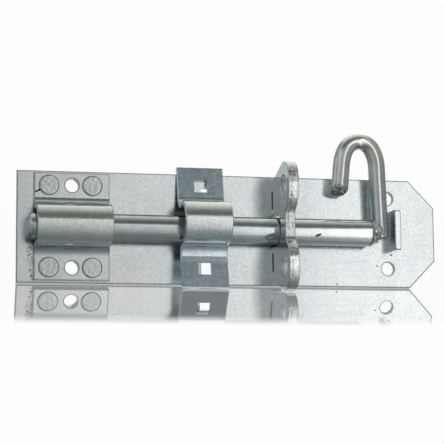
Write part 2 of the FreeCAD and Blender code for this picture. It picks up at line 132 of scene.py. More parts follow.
# --------------------------------------------------------------------- camera
# fitted to the plate's corners, holes and the bar: rows are right, up and back
RIGHT = Vector((0.974246, -0.225307, -0.008981))
UP = Vector((-0.022085, -0.134980, 0.990602))
BACK = Vector((-0.224402, -0.964892, -0.136480))
cam_data = bpy.data.cameras.new("camera")
cam_data.sensor_width = 36.0
cam_data.lens = 1624.919 / 444.0 * 36.0
cam_data.clip_start, cam_data.clip_end = 0.05, 20.0
cam = bpy.data.objects.new("camera", cam_data)
scene.collection.objects.link(cam)
cam.matrix_world = Matrix((
    (RIGHT.x, UP.x, BACK.x, -221.620 * MM),
    (RIGHT.y, UP.y, BACK.y, -931.685 * MM),
    (RIGHT.z, UP.z, BACK.z, -126.411 * MM),
    (0, 0, 0, 1)))
scene.camera = cam

# ---------------------------------------------------------------------- world
# plain white as seen; for lighting, one broad soft panel in front on the right whose
# upper edge climbs to the right, a dim gap above it, a warm ceiling and dim sides
world = bpy.data.worlds.new("studio")
scene.world = world
world.use_nodes = True
g = Graph(world.node_tree)
direction = g.node("ShaderNodeTexCoord").outputs["Generated"]
dx, dy, dz = g.split(g.vec("NORMALIZE", direction))
elev = g.math("MULTIPLY", g.math("ARCSINE", dz), 180 / math.pi)
# sideways angle off the plane across the bolt, counted on past 90 degrees to the back
side = g.math("MULTIPLY", g.math("ARCSINE", dx), 180 / math.pi)
back = g.math("GREATER_THAN", dy, 0.0)
turned = g.math("SUBTRACT", g.math("MULTIPLY", g.math("SIGN", dx), 180.0), side)
azim = g.math("ADD", g.math("MULTIPLY", side, g.math("SUBTRACT", 1.0, back)), g.math("MULTIPLY", turned, back))


def tone_of(angle, stops):
    return g.ramp(g.math("DIVIDE", g.math("ADD", angle, 180.0), 360.0),
                  [((a + 180.0) / 360.0, c) for a, c in stops])


# the panel fades downwards, later and faster on the right
fade_left = tone_of(elev, [
    (-90, (0.20, 0.245, 0.265)),
    (-64, (0.26, 0.30, 0.315)),
    (-40, (0.39, 0.42, 0.43)),
    (-20, (0.57, 0.59, 0.59)),
    (-6, (0.74, 0.75, 0.745)),
    (6, (0.88, 0.885, 0.88)),
    (13, (0.95, 0.95, 0.935)),
    (22, (1.16, 1.16, 1.14)),
])
fade_right = tone_of(elev, [
    (-90, (0.19, 0.235, 0.25)),
    (-72, (0.25, 0.29, 0.30)),
    (-54, (0.36, 0.39, 0.40)),
    (-45, (0.56, 0.58, 0.58)),
    (-36, (1.0, 1.01, 1.0)),
    (-17, (1.14, 1.14, 1.13)),
    (-6, (1.20, 1.20, 1.19)),
    (2, (1.10, 1.10, 1.09)),
    (9, (1.0, 1.0, 0.99)),
    (17, (1.2, 1.2, 1.18)),
    (24, (1.35, 1.35, 1.33)),
])
down = g.mix(g.step(azim, 12.6, 15.2), fade_left, fade_right)
across = g.scale_of(azim, [
    (-180, 0.72), (-172, 0.62), (-160, 0.60), (-152, 0.24), (-120, 0.28), (-112, 0.55), (-98, 0.55), (-88, 0.34),
    (-60, 0.36), (-44, 0.60), (-30, 0.46), (-14, 0.34), (0, 0.43), (5.8, 0.62), (9.5, 0.78), (10.6, 0.88), (13.4, 0.90),
    (15.6, 0.76), (17.0, 0.98), (18.6, 1.46), (20.6, 1.96), (22.6, 0.62), (24.6, 0.28), (45, 0.26), (90, 0.25),
    (120, 0.22), (150, 0.28), (160, 0.70), (180, 0.72)], 2.0)
panel = g.mix(1.0, down, g.join(across, across, across), "MULTIPLY")
cool = g.mix(g.step(azim, 4.0, -3.0), (1.0, 1.0, 1.0, 1.0), (0.94, 1.02, 1.035, 1.0))
panel = g.mix(1.0, panel, cool, "MULTIPLY")
warm = g.mix(g.step(azim, 21.0, 26.0), (1.0, 1.0, 1.0, 1.0), (1.04, 1.0, 0.955, 1.0))
panel = g.mix(1.0, panel, warm, "MULTIPLY")
rise = g.math("MULTIPLY", g.math("ARCTAN2", dz, g.math("MULTIPLY", dy, -1.0)), 180 / math.pi)
over = tone_of(rise, [
    (10, (0.115, 0.15, 0.165)),
    (50, (0.115, 0.14, 0.145)),
    (60, (0.185, 0.20, 0.19)),
    (70, (0.32, 0.33, 0.305)),
    (82, (0.50, 0.505, 0.47)),
    (95, (0.66, 0.66, 0.62)),
    (110, (0.82, 0.82, 0.79)),
    (130, (0.90, 0.90, 0.88)),
    (179, (0.60, 0.60, 0.60)),
])
edge = g.scale_of(azim, [(-120, 55.0), (-60, 40.0), (-5, 24.0), (6, 24.0), (9, 26.0), (11.6, 29.0), (12.4, 30.0), (13.1, 28.0),
                         (13.6, 18.0), (17, 19.0), (21, 38.0), (26, 50.0), (60, 55.0)], 60.0)
lift = g.math("SUBTRACT", elev, edge)
around = g.mix(g.step(lift, -2.0, 2.5), panel, over)
light = g.node("ShaderNodeBackground")
g.put(light.inputs[0], around)
seen = g.node("ShaderNodeBackground")
seen.inputs[0].default_value = (0.985, 0.985, 0.985, 1.0)
both = g.node("ShaderNodeMixShader")
ray = g.node("ShaderNodeLightPath").outputs
g.put(both.inputs[0], g.math("MAXIMUM", ray["Is Camera Ray"], ray["Is Singular Ray"]))
g.put(both.inputs[1], light.outputs[0])
g.put(both.inputs[2], seen.outputs[0])
g.put(g.node("ShaderNodeOutputWorld").inputs[0], both.outputs[0])

# ---------------------------------------------------------------------- floor
# pale glossy sheet under the plate's lower edge and the staple's lower ear, on
# which the whole thing leans back a little
FALL = 0.2004
mesh = bpy.data.meshes.new("floor")
half_x, near, far = 0.75, -0.95, 0.75
mesh.from_pydata(
    [(x, y, -32.78 * MM + FALL * y) for y in (near, far) for x in (-half_x, half_x)],
    [], [(0, 1, 3, 2)])
floor = bpy.data.objects.new("floor", mesh)
scene.collection.objects.link(floor)
mat = bpy.data.materials.new("floor")
mat.use_nodes = True
g = Graph(mat.node_tree)
fx, fy, fz = g.split(g.node("ShaderNodeTexCoord").outputs["Object"])
plain = g.node("ShaderNodeEmission")
plain.inputs[0].default_value = (0.985, 0.985, 0.985, 1.0)
polish = g.node("ShaderNodeBsdfGlossy")
polish.inputs["Color"].default_value = (0.98, 0.98, 0.98, 1.0)
polish.inputs["Roughness"].default_value = 0.0
fresnel = g.node("ShaderNodeFresnel")
fresnel.inputs["IOR"].default_value = 1.5
shine = g.math("MULTIPLY", g.math("MINIMUM", g.math("MULTIPLY", fresnel.outputs[0], 1.85), 0.88),
               g.step(fy, -0.190, -0.145))
mixed = g.node("ShaderNodeMixShader")
g.put(mixed.inputs[0], shine)
g.put(mixed.inputs[1], plain.outputs[0])
g.put(mixed.inputs[2], polish.outputs[0])
g.put(g.node("ShaderNodeOutputMaterial").inputs[0], mixed.outputs[0])
floor.visible_glossy = False
floor.visible_diffuse = False
mesh.materials.append(mat)


# ------------------------------------------------------------------ materials
class Zinc:
    """Bright zinc plating: clouds, small mottles, fine grain and faint lines along X, with
    marks laid over them. Positions are in millimetres of the row frame."""

    def __init__(self, name, light_tint, dark_tint, rough, seed=0.0, clouds=0.5, mottle=0.5, vary=0.08,
                 grain=0.3, lines=0.2, bump=0.25, speckle=0.0):
        self.mat = bpy.data.materials.new(name)
        self.mat.use_nodes = True
        g = self.g = Graph(self.mat.node_tree)
        place = g.node("ShaderNodeTexCoord").outputs["Object"]
        self.mm = g.vec("SCALE", place, 1000.0)
        self.x, self.y, self.z = g.split(self.mm)
        at = g.vec("ADD", self.mm, (seed, seed * 0.7, seed * 1.3))
        big = g.noise(at, 0.035, 3.0, 0.6)
        mid = g.noise(at, 0.16, 3.0, 0.6)
        spot = g.noise(at, 0.62, 2.0, 0.6)
        fine = g.noise(at, 2.4, 2.0, 0.6)
        ax, ay, az = g.split(at)
        drawn = g.noise(g.join(g.math("MULTIPLY", ax, 0.012), ay, az), 1.3, 4.0, 0.68)
        tone = g.math("ADD", g.math("MULTIPLY", g.step(big, 0.36, 0.64), clouds),
                      g.math("MULTIPLY", g.step(spot, 0.36, 0.64), mottle))
        tone = g.math("ADD", tone, g.math("MULTIPLY", g.step(mid, 0.36, 0.64), 1.0 - clouds - mottle))
        self.color = g.mix(tone, (*dark_tint, 1.0), (*light_tint, 1.0))
        if speckle:
            grains = g.noise(at, 1.15, 1.0, 0.5)
            deep = g.step(grains, 0.40, 0.60, 1.0 - speckle, 1.0 + speckle)
            self.color = g.mix(1.0, self.color, g.join(deep, deep, deep), "MULTIPLY")
        r = g.math("MULTIPLY_ADD", g.math("SUBTRACT", spot, 0.5), vary * 2, rough)
        r = g.math("MULTIPLY_ADD", g.math("SUBTRACT", big, 0.5), vary * 2, r)
        self.rough = g.math("MULTIPLY_ADD", g.math("SUBTRACT", fine, 0.5), vary, r)
        h = g.math("ADD", g.math("MULTIPLY", fine, grain), g.math("MULTIPLY", spot, 0.7))
        self.height = g.math("MULTIPLY_ADD", drawn, lines, h)
        self.bump = bump
        self.spot, self.fine, self.drawn, self.mid = spot, fine, drawn, mid

    def shade(self, mask, tint, rough=None, height=None):
        """Tint the colour by a mask, and take roughness and height with it."""
        g = self.g
        self.color = g.mix(mask, self.color, g.mix(1.0, self.color, (*tint, 1.0), "MULTIPLY"))
        if rough is not None:
            self.rough = g.math("ADD", self.rough, g.math("MULTIPLY", mask, rough))
        if height is not None:
            self.height = g.math("ADD", self.height, g.math("MULTIPLY", mask, height))

    def paint(self, mask, color, rough=None):
        """Lay a colour over the metal by a mask."""
        g = self.g
        self.color = g.mix(mask, self.color, (*color, 1.0))
        if rough is not None:
            self.rough = g.math("ADD", self.rough, g.math("MULTIPLY", mask, rough))

    def near_segment(self, a, b, inner, outer, wobble=0.0):
        """1 within inner of the line from a to b in the XZ plane, 0 beyond outer."""
        g = self.g
        ax, az = a
        bx, bz = b
        run = max((bx - ax) ** 2 + (bz - az) ** 2, 1e-9)
        px, pz = g.math("SUBTRACT", self.x, ax), g.math("SUBTRACT", self.z, az)
        t = g.math("ADD", g.math("MULTIPLY", px, (bx - ax) / run), g.math("MULTIPLY", pz, (bz - az) / run), clamp=True)
        ex = g.math("SUBTRACT", px, g.math("MULTIPLY", t, bx - ax))
        ez = g.math("SUBTRACT", pz, g.math("MULTIPLY", t, bz - az))
        d = g.math("SQRT", g.math("ADD", g.math("MULTIPLY", ex, ex), g.math("MULTIPLY", ez, ez)))
        if wobble:
            d = g.math("MULTIPLY_ADD", g.math("SUBTRACT", self.fine, 0.5), wobble, d)
        return g.step(d, outer, inner)

    def ring(self, x, z, r0, r1, soft=0.25):
        """1 between two radii round a point in the XZ plane."""
        g = self.g
        px, pz = g.math("SUBTRACT", self.x, x), g.math("SUBTRACT", self.z, z)
        d = g.math("SQRT", g.math("ADD", g.math("MULTIPLY", px, px), g.math("MULTIPLY", pz, pz)))
        return g.math("MULTIPLY", g.step(d, r0 - soft, r0 + soft), g.step(d, r1 + soft, r1 - soft))

    def any_of(self, masks):
        g = self.g
        total = masks[0]
        for m in masks[1:]:
            total = g.math("MAXIMUM", total, m)
        return total

    def done(self):
        g = self.g
        bump = g.node("ShaderNodeBump")
        bump.inputs["Strength"].default_value = self.bump
        bump.inputs["Distance"].default_value = 0.00012
        g.put(bump.inputs["Height"], self.height)
        b = g.node("ShaderNodeBsdfPrincipled")
        b.inputs["Metallic"].default_value = 1.0
        g.put(b.inputs["Base Color"], self.color)
        g.put(b.inputs["Roughness"], g.math("MAXIMUM", self.rough, 0.06))
        g.put(b.inputs["Normal"], bump.outputs[0])
        g.put(g.node("ShaderNodeOutputMaterial").inputs[0], b.outputs[0])
        return self.mat


RIVETS = [(x, z) for x in (-108.8, -83.6) for z in (23.9, -23.9)]
SCREWS = [(-95.3, 24.0), (-95.3, -24.0), (97.1, 21.4), (97.1, -21.4)]

# back plate: dark thin outline at the sheared edges and holes, rust specks, faint scratches
m = Zinc("plate_zinc", (0.84, 0.87, 0.877), (0.675, 0.72, 0.742), 0.20, 0.0, 0.35, 0.40, 0.08, 0.45, 0.25, 0.22, 0.05)
g = m.g
ax_, az_ = g.math("ABSOLUTE", m.x), g.math("ABSOLUTE", m.z)
rim = g.math("MINIMUM", g.math("SUBTRACT", 127.0, ax_), g.math("SUBTRACT", 32.75, az_))
clip = g.math("ADD", g.math("MULTIPLY", g.math("SUBTRACT", 127.0, m.x), 0.71793),
              g.math("MULTIPLY", g.math("SUBTRACT", 16.25, az_), 0.69617))
rim = g.math("MINIMUM", rim, clip)
m.shade(g.step(rim, 1.0, 0.25), (0.50, 0.53, 0.53), 0.12)
m.shade(m.any_of([m.ring(x, z, 3.0, 4.55, 0.2) for x, z in SCREWS[2:]]), (0.45, 0.47, 0.47), 0.1)
# painted light: the walls of the two screw holes at the right end are painted near-white
for x, z in SCREWS[2:]:
    px, pz = g.math("SUBTRACT", m.x, x), g.math("SUBTRACT", m.z, z)
    d = g.math("SQRT", g.math("ADD", g.math("MULTIPLY", px, px), g.math("MULTIPLY", pz, pz)))
    m.paint(g.step(d, 4.10, 4.03), (0.97, 0.97, 0.97), 0.45)
dirt = g.noise(g.vec("ADD", m.mm, (7.0, 3.0, 19.0)), 0.85, 4.0, 0.72)
near_dirt = m.any_of([m.near_segment((-119.6, -12.6), (-118.6, -22.4), 0.5, 2.6),
                      m.near_segment((-118.9, -25.0), (-118.2, -31.0), 0.2, 1.8)])
near_dirt = g.math("MULTIPLY", near_dirt, g.step(m.y, -1.2, -2.2))
m.paint(g.math("MULTIPLY", near_dirt, g.step(dirt, 0.49, 0.575)), (0.17, 0.145, 0.125), 0.3)
low_left = g.math("MULTIPLY", g.step(m.z, -10.0, -24.0), g.step(m.x, -36.0, -60.0))
m.shade(g.math("MAXIMUM", g.step(m.x, -108.0, -116.0), low_left), (1.01, 0.99, 0.965), 0.0)
# painted shadow: a bluish darkening on the plate round the bolt's nose
m.shade(m.near_segment((-122.0, -7.0), (-122.0, 7.0), 1.0, 9.0), (0.90, 0.97, 1.01), 0.0)
# painted shade: the plate from just right of the staple to about x = 68 mm is darkened and cooled, fading out to the
# right
m.shade(g.math("MULTIPLY", g.step(m.x, 68.0, 36.0), g.step(m.x, 28.0, 31.0)), (0.89, 0.92, 0.935), 0.0)
m.paint(m.any_of([m.near_segment((90.0, -19.6), (90.4, -19.8), 0.05, 0.6, 0.5),
                  m.near_segment((99.0, -12.8), (99.5, -13.1), 0.05, 0.75, 0.5),
                  m.near_segment((64.4, -31.2), (65.0, -30.9), 0.05, 0.55, 0.5)]), (0.30, 0.22, 0.15), 0.3)
m.shade(m.any_of([m.near_segment((60.6, -17.8), (85.8, -17.4), 0.02, 0.30, 0.7),
                  m.near_segment((61.8, -22.6), (86.9, -22.8), 0.02, 0.25, 0.7)]), (0.91, 0.92, 0.92), 0.03)
# painted shade: black lines on the plate along the staple's tenon slots stand in for the shade in the gaps
m.paint(m.any_of([m.near_segment((25.05, z0), (25.05, z0 + 10.6), 0.08, 0.30, 0.2) for z0 in (13.3, -23.9)]),
        (0.03, 0.032, 0.035), 0.3)
m.shade(m.near_segment((-70.5, -15.4), (-66.0, -16.2), 0.02, 0.5, 0.9), (0.80, 0.81, 0.82), 0.05)
plate_mat = m.done()

# guide strap: painted shade in the crevice round the rivets, a black scratch, darker ends and outer edges
m = Zinc("strap_zinc", (0.78, 0.80, 0.795), (0.66, 0.695, 0.70), 0.17, 11.0, 0.35, 0.35, 0.06, 0.35, 0.25, 0.20, 0.05)
g = m.g
# painted shade in the crevice round the rivet heads
m.shade(m.any_of([m.ring(x, z, 5.0, 6.05, 0.2) for x, z in RIVETS]), (0.35, 0.37, 0.37), 0.2)
m.shade(m.any_of([m.ring(x, z, 3.0, 4.6, 0.2) for x, z in SCREWS[:2]]), (0.45, 0.47, 0.47), 0.1)
m.paint(m.any_of([m.near_segment((-116.4, 19.9), (-115.0, 20.5), 0.25, 0.70, 0.6),
                  m.near_segment((-115.0, 20.5), (-113.6, 21.3), 0.30, 0.85, 0.7)]), (0.025, 0.028, 0.028), 0.3)
sides = g.math("MINIMUM", g.math("ADD", m.x, 117.2), g.math("SUBTRACT", -73.4, m.x))
m.shade(g.step(sides, 1.0, 0.2), (0.72, 0.74, 0.74), 0.1)
m.shade(g.step(g.math("ABSOLUTE", m.z), 30.3, 31.1), (0.55, 0.58, 0.58), 0.1)
# painted light: the front of the hump is lightened and warmed
m.shade(g.step(m.y, -12.0, -17.0), (1.10, 1.085, 1.035), 0.04)
# painted shade: a bluish cast at the foot of the hump on both sides
painted_shade_at_hump_foot = g.math("MULTIPLY", g.step(m.y, -9.5, -7.0), g.step(g.math("ABSOLUTE", m.z), 23.0, 16.5))
m.shade(painted_shade_at_hump_foot, (0.95, 1.01, 1.05), 0.0)
strap_mat = m.done()

m = Zinc("rivet_zinc", (0.74, 0.77, 0.77), (0.56, 0.60, 0.61), 0.24, 23.0, 0.2, 0.5, 0.10, 0.6, 0.0, 0.35)
# painted shade in the crevice at the rim of the rivet heads
m.shade(m.any_of([m.ring(x, z, 5.5, 6.5, 0.2) for x, z in RIVETS]), (0.45, 0.47, 0.47), 0.2)
rivet_mat = m.done()

# staple and stop: smooth cheeks, a sheared rim that is a little warmer and painted lighter as painted light, with torn
# streaks across the thickness, and hole walls painted paler and cooler as painted light
def blanked(name, x0, x1, seed, warm, holes=(), ragged=1.0):
    m = Zinc(name, (0.78, 0.82, 0.82), (0.60, 0.655, 0.66), 0.17, seed, 0.3, 0.4, 0.07, 0.4, 0.0, 0.22)
    g = m.g
    inside = g.math("MULTIPLY", g.step(m.x, x0 + 0.10, x0 + 0.45), g.step(m.x, x1 - 0.10, x1 - 0.40))
    # the rim is tinted warmer, its own tone, and lighter, which is painted light
    m.shade(inside, warm, 0.02)
    torn = g.noise(g.join(g.math("MULTIPLY", m.x, 0.22), m.y, m.z), 0.9, 4.0, 0.72)
    m.shade(g.math("MULTIPLY", g.math("MULTIPLY", inside, ragged), g.step(torn, 0.53, 0.68)), (0.77, 0.775, 0.77), 0.07)
    m.shade(g.math("MULTIPLY", inside, g.step(torn, 0.46, 0.36)), (1.07, 1.07, 1.06), 0.02)
    m.height = g.math("ADD", m.height, g.math("MULTIPLY", inside, g.math("MULTIPLY", torn, 1.7 * ragged)))
    for cy, cz in holes:
        py, pz = g.math("SUBTRACT", m.y, cy), g.math("SUBTRACT", m.z, cz)
        d = g.math("SQRT", g.math("ADD", g.math("MULTIPLY", py, py), g.math("MULTIPLY", pz, pz)))
        # painted light: the hole walls are painted paler
        m.paint(g.step(d, 7.0, 6.4), (0.84, 0.88, 0.90), 0.14)
    if holes:
        # painted light: the rim of the lower ear is lightened
        m.shade(g.math("MULTIPLY", inside, g.step(m.z, -6.0, -14.0)), (1.10, 1.10, 1.10), 0.0)
        # painted shade: the rim is darkened and a little rougher round the arch, under the lower ear and in one patch
        # on the upper ear
        m.shade(g.math("MULTIPLY", inside, g.step(g.math("ABSOLUTE", m.z), 16.0, 12.0)), (0.80, 0.80, 0.795), 0.0)
        m.shade(g.math("MULTIPLY", inside, g.step(m.z, -25.0, -28.5)), (0.74, 0.74, 0.73), 0.04)
        patch = g.math("MULTIPLY", g.step(m.z, 23.8, 25.2), g.step(m.z, 29.0, 27.4))
        m.shade(g.math("MULTIPLY", inside, patch), (0.66, 0.66, 0.66), 0.04)
    return m.done()


blank_mat = blanked("blanked_zinc", 25.3, 31.5, 31.0, (1.15, 1.12, 1.075), [(-28.2, 23.8), (-28.2, -23.8)])
lug_mat = blanked("lug_zinc", 97.85, 101.65, 41.0, (1.16, 1.15, 1.13), (), 0.15)

# bolt: drawn lines, scuffed dull stretch on the left, a pit, burnt end at the weld
m = Zinc("bar_zinc", (0.86, 0.88, 0.885), (0.72, 0.755, 0.765), 0.11, 53.0, 0.35, 0.25, 0.04, 0.20, 0.30, 0.16)
g = m.g
dull = g.step(m.x, 20.0, -25.0)
m.shade(dull, (0.80, 0.81, 0.80), 0.08)
flecks = g.math("MULTIPLY", g.math("MULTIPLY", g.step(m.drawn, 0.56, 0.66), g.step(m.mid, 0.45, 0.60)), dull)
m.shade(flecks, (1.22, 1.22, 1.22), 0.10)
# painted shade: the underside of the rod at the back, next to the plate, is darkened
under = g.math("MULTIPLY", g.step(m.y, -16.2, -13.0), g.step(m.z, -5.5, -7.6))
m.shade(under, (0.42, 0.44, 0.45), 0.15)
front = g.step(m.y, -14.0, -15.5)
pit = g.math("MULTIPLY", m.any_of([m.near_segment((47.6, -4.6), (48.9, -3.9), 0.15, 0.75, 0.7),
                                   m.near_segment((48.9, -3.9), (50.3, -3.2), 0.1, 0.55, 0.7)]), front)
m.paint(pit, (0.06, 0.075, 0.075), 0.3)
m.height = g.math("SUBTRACT", m.height, g.math("MULTIPLY", pit, 3.0))
burnt = g.step(g.math("MULTIPLY_ADD", g.math("SUBTRACT", m.spot, 0.5), 4.0, m.x), 81.2, 83.4)
m.shade(burnt, (0.46, 0.44, 0.43), 0.12)
m.shade(g.step(m.x, 78.0, 82.0), (1.0, 0.965, 0.95), 0.0)
bar_mat = m.done()

m = Zinc("hook_zinc", (0.86, 0.87, 0.865), (0.66, 0.69, 0.70), 0.15, 61.0, 0.3, 0.3, 0.05, 0.25, 0.0, 0.18)
# painted light and shade: the upper part of the hook is tinted warmer and the lower legs cooler and darker
m.shade(m.g.step(m.z, 18.0, 44.0), (1.0, 0.98, 0.945), 0.02)
m.shade(m.g.step(m.z, 34.0, 14.0), (0.88, 0.94, 0.96), -0.02)
hook_mat = m.done()
m = Zinc("weld_zinc", (0.93, 0.94, 0.93), (0.50, 0.52, 0.52), 0.09, 67.0, 0.1, 0.6, 0.06, 0.3, 0.0, 0.35)
weld_mat = m.done()

# keeper strap
m = Zinc("keeper_zinc", (0.83, 0.88, 0.91), (0.69, 0.755, 0.80), 0.15, 71.0, 0.25, 0.45, 0.05, 0.5, 0.15, 0.22, 0.07)
# painted light: the front of the hump is tinted warmer and a little lighter
hump = m.g.math("MULTIPLY", m.g.step(m.y, -15.0, -21.0), m.g.step(m.z, -11.0, -2.0))
m.shade(hump, (1.07, 1.015, 0.955), 0.02)
# painted shade: the lower flange is darkened
m.shade(m.g.step(m.z, -19.0, -22.5), (0.69, 0.735, 0.755), 0.0)
# painted light: the upper flange is lightened
m.shade(m.g.step(m.z, 14.5, 17.5), (1.05, 1.06, 1.05), 0.04)
# painted light: inside of the channel, round its leaning axis, painted paler and duller to lift its shade
cy, cz = m.g.math("ADD", m.y, 19.6), m.g.math("SUBTRACT", m.z, 2.07)
d = m.g.math("SQRT", m.g.math("ADD", m.g.math("MULTIPLY", cy, cy), m.g.math("MULTIPLY", cz, cz)))
m.paint(m.g.step(d, 10.9, 10.3), (0.86, 0.87, 0.875), 0.35)
keeper_mat = m.done()

for name, material in (("back_plate", plate_mat), ("bolt_guide", strap_mat), ("keeper", keeper_mat)):
    nodes[name].data.materials.clear()
    nodes[name].data.materials.append(material)


# -------------------------------------------------------------------- meshing
def rand(x, y, z):
    return noise.noise(Vector((x, y, z)))


def place_piece(name, bm, material, node, body):
    bmesh.ops.recalc_face_normals(bm, faces=bm.faces)
    me = bpy.data.meshes.new(name)
    bm.to_mesh(me)
    bm.free()
    me.materials.append(material)
    obj = bpy.data.objects.new(name, me)
    scene.collection.objects.link(obj)
    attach(obj, body)
    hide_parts(node)
    return obj


def new_vert(bm, x, y, z):
    return bm.verts.new((x * MM, y * MM, z * MM))


def bridge(bm, a, b, closed=True):
    n = len(a)
    out = []
    for i in range(n if closed else n - 1):
        j = (i + 1) % n
        f = bm.faces.new((a[i], a[j], b[j], b[i]))
        f.smooth = True
        out.append(f)
    return out


def fan(bm, ring, x, y, z):
    c = new_vert(bm, x, y, z)
    for i in range(len(ring)):
        f = bm.faces.new((ring[i], ring[(i + 1) % len(ring)], c))
        f.smooth = True


def spread(points, step=0.55):
    """Points along a closed line at about the given spacing, corners kept."""
    out = []
    for i, a in enumerate(points):
        b = points[(i + 1) % len(points)]
        n = max(1, int(math.hypot(b[0] - a[0], b[1] - a[1]) / step + 0.5))
        for k in range(n):
            out.append((a[0] + (b[0] - a[0]) * k / n, a[1] + (b[1] - a[1]) * k / n))
    return out


def arc(cx, cz, r, a0, a1, step=0.5):
    n = max(3, int(abs(math.radians(a1 - a0)) * r / step))
    return [(cx + r * math.cos(math.radians(a0 + (a1 - a0) * k / n)),
             cz + r * math.sin(math.radians(a0 + (a1 - a0) * k / n))) for k in range(n + 1)]


def area(loop):
    return 0.5 * sum(loop[i][0] * loop[(i + 1) % len(loop)][1] - loop[(i + 1) % len(loop)][0] * loop[i][1]
                     for i in range(len(loop)))


def blank(name, loops, x0, x1, material, node, soft, crown, tear, seed, ridges=()):
    """A blanked plate standing in the YZ plane from x0 to x1: loops are (stand-off, z) lines, the
    first the outline and the rest holes. Its rim is crowned, torn along the thickness and rolled
    over at both faces."""
    bm = bmesh.new()
    thick = x1 - x0
    prof = []
    for k in range(5):                                    # roll-over at the left face
        a = math.radians(90.0 * k / 4)
        prof.append((x0 + soft[0] * (1 - math.cos(a)), soft[0] * (1 - math.sin(a)), 0.0 if k == 0 else 0.4))
    for k in range(1, 10):
        prof.append((x0 + soft[0] + (thick - soft[0] - soft[1]) * k / 10.0, 0.0, 1.0))
    for k in range(4, -1, -1):
        a = math.radians(90.0 * k / 4)
        prof.append((x1 - soft[1] * (1 - math.cos(a)), soft[1] * (1 - math.sin(a)), 0.0 if k == 0 else 0.4))
    first, last = [], []
    for number, raw in enumerate(loops):
        pts = spread(raw)
        if (area(pts) > 0) != (number == 0):
            pts.reverse()
        n = len(pts)
        along, walls = 0.0, []
        outward = []
        for i in range(n):
            a, b = pts[i - 1], pts[(i + 1) % n]
            tx, tz = b[0] - a[0], b[1] - a[1]
            size = math.hypot(tx, tz) or 1.0
            outward.append((tz / size, -tx / size))
        rows = []
        for px, inset, torn in prof:
            u = 2 * (px - x0) / thick - 1
            row = []
            along = 0.0
            for i in range(n):
                d, z = pts[i]
                along += math.hypot(d - pts[i - 1][0], z - pts[i - 1][1])
                k = min(max((d - 0.2) / 1.2, 0.0), 1.0)
                cut = inset * k + crown * u * u * k
                if torn:
                    t = (0.5 + 0.5 * rand(along * 0.85 + seed, px * 0.16, number * 9.0 + seed)) * 0.6
                    t += (0.5 + 0.5 * rand(d * 0.55, z * 0.55 + seed, px * 0.55)) * 0.4
                    t += 0.35 * max(0.0, rand(along * 2.2, px * 0.8 + seed, number * 5.0))
                    cut += tear * t * torn * k
                    for z0, z1, pitch, depth in ridges:
                        if z0 < z < z1:
                            fade = min(1.0, (z - z0) / 0.8, (z1 - z) / 0.8)
                            cut += depth * fade * k * (0.5 + 0.5 * math.sin(2 * math.pi * z / pitch + 0.12 * px)) * (d > 20.0)
                ox, oz = outward[i]
                row.append(new_vert(bm, px, -(PLATE + d - ox * cut), z - oz * cut))
            rows.append(row)
        for a, b in zip(rows, rows[1:]):
            bridge(bm, a, b)
        first.append(rows[0])
        last.append(rows[-1])
    for side in (first, last):
        lines = [[Vector((v.co.y / MM, v.co.z / MM, 0.0)) for v in loop] for loop in side]
        flat = [v for loop in side for v in loop]
        for tri in geometry.tessellate_polygon(lines):
            f = bm.faces.new([flat[i] for i in tri])
            f.smooth = False
    bm.normal_update()
    for e in bm.edges:
        kinds = {f.smooth for f in e.link_faces}
        if len(kinds) == 2 or (len(e.link_faces) == 2 and e.calc_face_angle(0.0) > math.radians(50)):
            e.smooth = False
    return place_piece(name, bm, material, node, "base")


# ---------------------------------------------------------------- staple plate
BASE, EAR_D, EAR_Z, EAR_R = 30.0, 25.4, 26.0, 12.2
run2 = EAR_D ** 2 + (EAR_Z - BASE) ** 2
tang = math.sqrt(run2 - EAR_R ** 2)
tan_d = (EAR_D * tang ** 2 - (EAR_Z - BASE) * EAR_R * tang) / run2
tan_z = BASE + ((EAR_Z - BASE) * tang ** 2 + EAR_D * EAR_R * tang) / run2
SH_D, SH_Z, SH_R, TURN, WAIST = 21.6, 22.4, 16.0, 55.0, 28.9
cs, sn = math.cos(math.radians(TURN)), math.sin(math.radians(TURN))
hol = (SH_D + SH_R * cs - WAIST) / (1.0 - cs)
hol_d, hol_z = WAIST + hol, SH_Z - (SH_R + hol) * sn
start = math.degrees(math.atan2(tan_z - EAR_Z, tan_d - EAR_D))
half = [(0.0, 9.4), (0.0, 13.2), (-PLATE, 13.2), (-PLATE, 24.0), (0.0, 24.0), (0.0, BASE)]
half += arc(EAR_D, EAR_Z, EAR_R, start, 0.0)
half += arc(SH_D, SH_Z, SH_R, 0.0, -TURN)
half += arc(hol_d, hol_z, hol, 180.0 - TURN, 180.0)[1:]
outline = half + [(d, -z) for d, z in reversed(half)] + arc(8.6, 0.0, 9.4, -90.0, 90.0)
LOCKS = [arc(25.2, z, 6.0, 0.0, 360.0)[:-1] for z in (23.8, -23.8)]
blank("staple_plate_look", [outline] + LOCKS, 25.3, 31.5, blank_mat, "staple_plate",
      (0.45, 0.45), 0.16, 0.40, 3.0, [(-17.2, -13.6, 1.2, 0.20)])

# -------------------------------------------------------------------- stop lug
LUG_Z = 1.0
lug = [(-PLATE, -8.0), (-PLATE, 8.0), (0.0, 8.0), (0.0, 12.3)]
lug += arc(12.4 - 1.6, 12.3 - 1.6, 1.6, 90.0, 0.0, 0.3) + arc(12.4 - 1.6, -12.3 + 1.6, 1.6, 0.0, -90.0, 0.3)
lug += [(0.0, -12.3), (0.0, -8.0)]
lug = [(d, LUG_Z + z) for d, z in lug]
blank("stop_lug_look", [lug], 97.85, 101.65, lug_mat, "stop_lug", (0.55, 0.3), 0.03, 0.03, 17.0)

